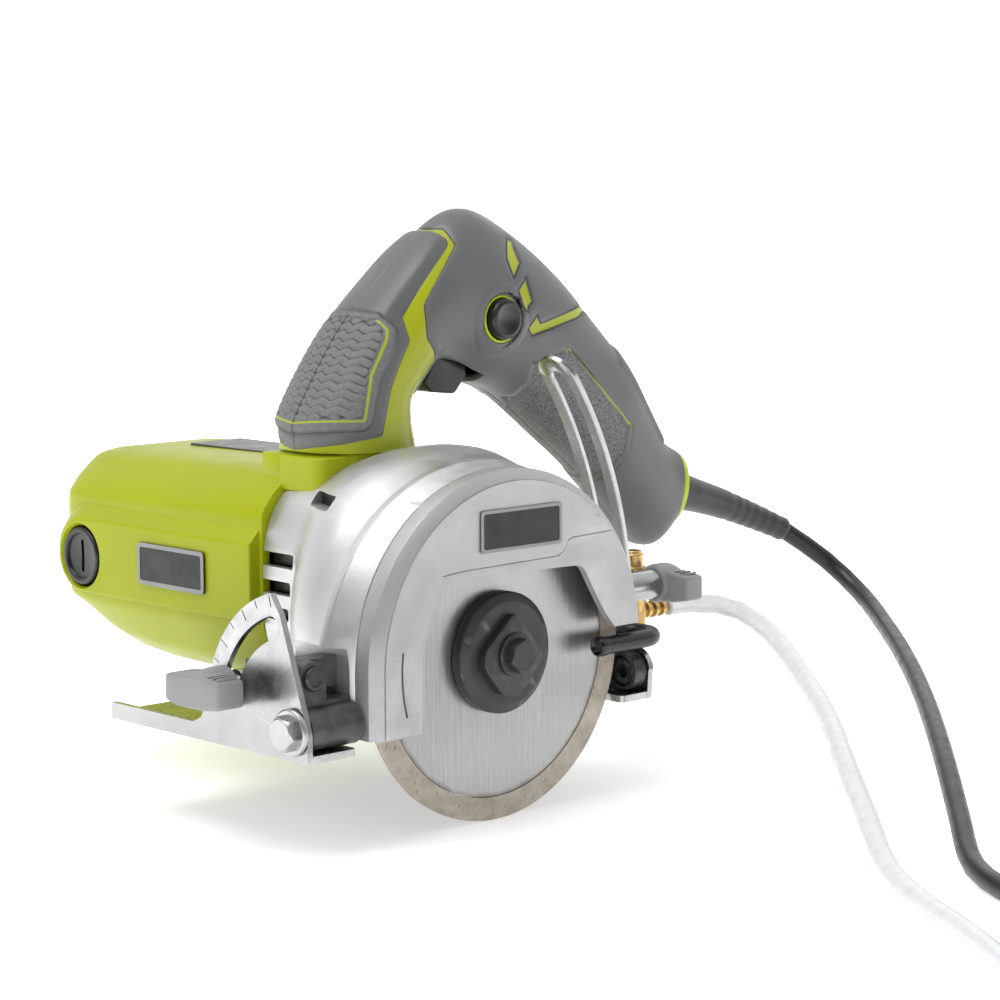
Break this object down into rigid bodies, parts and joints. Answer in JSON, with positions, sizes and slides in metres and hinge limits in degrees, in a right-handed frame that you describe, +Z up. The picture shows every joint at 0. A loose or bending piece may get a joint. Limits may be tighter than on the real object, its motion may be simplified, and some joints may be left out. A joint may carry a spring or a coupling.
{
  "type": "tile cutter",
  "caption": "Hand-held wet tile cutter: corded motor, geared diamond blade under a guard, tilting depth-adjustable base plate, loop handle, water nozzle and hose.",
  "frame": {"origin": "centre of the footprint of the tool without its cord and hose, at the lowest point of the blade", "axes": "+Z up; -X is the front of the tool, where the cut starts; -Y is the outer face of the blade and guard; +Y runs along the motor"},
  "size_m": [0.3076, 0.4677, 0.1835],
  "materials": {
    "green_plastic": "semi-gloss moulded",
    "grey_rubber": "soft-touch, fine texture",
    "dark_rubber": "matt, ribbed",
    "cast_aluminium": "fine blasted casting",
    "plated_steel": "plated sheet",
    "steel": "ground",
    "black_steel": "black coated",
    "black_plastic": "moulded",
    "light_grey_plastic": "moulded",
    "brass": "turned",
    "diamond_rim": "sintered grit",
    "copper": "turned copper",
    "clear_vinyl": "clear flexible tube",
    "carbon": "pressed carbon"
  },
  "bodies": {
    "tool": {"gear_housing": "cast_aluminium", "blade_guard": "cast_aluminium", "guard_badge": "black_plastic", "motor_housing": "green_plastic", "motor_badge": "black_plastic", "brush_cap_front": "black_plastic", "brush_cap_rear": "black_plastic", "brush_holder_front": "brass", "brush_holder_rear": "brass", "carbon_brush_front": "carbon", "carbon_brush_rear": "carbon", "stator": "steel", "motor_bearing_rear": "steel", "bearing_plate": "cast_aluminium", "spindle_bearing": "steel", "handle_left": "green_plastic", "handle_right": "green_plastic", "grip_left": "grey_rubber", "grip_right": "grey_rubber", "front_grip_pad": "dark_rubber", "rear_grip_pad": "dark_rubber", "side_grip_panel": "dark_rubber", "tail_ring": "green_plastic", "lock_button_ring": "green_plastic", "switch_body": "black_plastic", "trigger_spring": "steel", "rear_stud": "plated_steel", "water_fitting": "brass", "water_nozzle": "black_plastic", "strain_relief": "dark_rubber", "power_cord": "black_plastic", "cord_coil": "black_plastic", "power_plug": "black_plastic", "water_hose": "clear_vinyl", "hose_coil": "clear_vinyl", "hose_coupling": "brass"},
    "blade": {"spindle": "steel", "driven_gear": "steel", "inner_flange": "black_steel", "blade_core": "steel", "diamond_rim": "diamond_rim", "outer_flange": "black_steel", "blade_bolt": "black_steel"},
    "armature": {"armature_shaft": "steel", "armature_core": "steel", "commutator": "copper", "cooling_fan": "black_plastic"},
    "trigger": {"trigger": "black_plastic"},
    "lock_button": {"lock_button": "dark_rubber"},
    "rear_knob": {"rear_knob": "light_grey_plastic"},
    "front_knob": {"front_knob": "light_grey_plastic"},
    "depth_frame": {"depth_bracket": "black_steel", "depth_pin": "black_steel", "rear_arm": "plated_steel", "front_stud": "plated_steel"},
    "base": {"base_plate": "plated_steel", "bevel_bolt_front": "plated_steel", "bevel_bolt_rear": "steel"}
  },
  "joints": [
    {"name": "blade_spin", "type": "hinge", "parent": "tool", "child": "blade", "pos_m": [-0.02457, -0.07915, 0.0525], "axis": [0, 1, 0], "continuous": true},
    {"name": "armature_spin", "type": "hinge", "parent": "tool", "child": "armature", "pos_m": [-0.02457, -0.07915, 0.0705], "axis": [0, 1, 0], "continuous": true},
    {"name": "trigger_pull", "type": "slide", "parent": "tool", "child": "trigger", "axis": [0.6283, 0, 0.778], "range_m": [0, 0.004], "stiffness_N_per_m": 900, "springref_m": -0.002, "deforming": ["trigger_spring"]},
    {"name": "lock_button_press", "type": "slide", "parent": "tool", "child": "lock_button", "axis": [0, 1, 0], "range_m": [0, 0.003], "stiffness_N_per_m": 500, "springref_m": -0.001},
    {"name": "depth_hinge", "type": "hinge", "parent": "tool", "child": "depth_frame", "pos_m": [-0.09657, -0.06915, 0.0533], "axis": [0, 1, 0], "range_deg": [0, 30]},
    {"name": "bevel_hinge", "type": "hinge", "parent": "depth_frame", "child": "base", "pos_m": [-0.02457, -0.07915, 0.0388], "axis": [1, 0, 0], "range_deg": [-45, 0]},
    {"name": "front_knob_turn", "type": "hinge", "parent": "depth_frame", "child": "front_knob", "pos_m": [-0.10857, -0.04995, 0.0485], "axis": [1, 0, 0], "range_deg": [-90, 0]},
    {"name": "rear_knob_turn", "type": "hinge", "parent": "tool", "child": "rear_knob", "pos_m": [0.06343, -0.06395, 0.0621], "axis": [1, 0, 0], "range_deg": [-90, 0]}
  ],
  "couplings": [
    {"joint": "armature_spin", "follows": "blade_spin", "ratio": -2.4286}
  ]
}
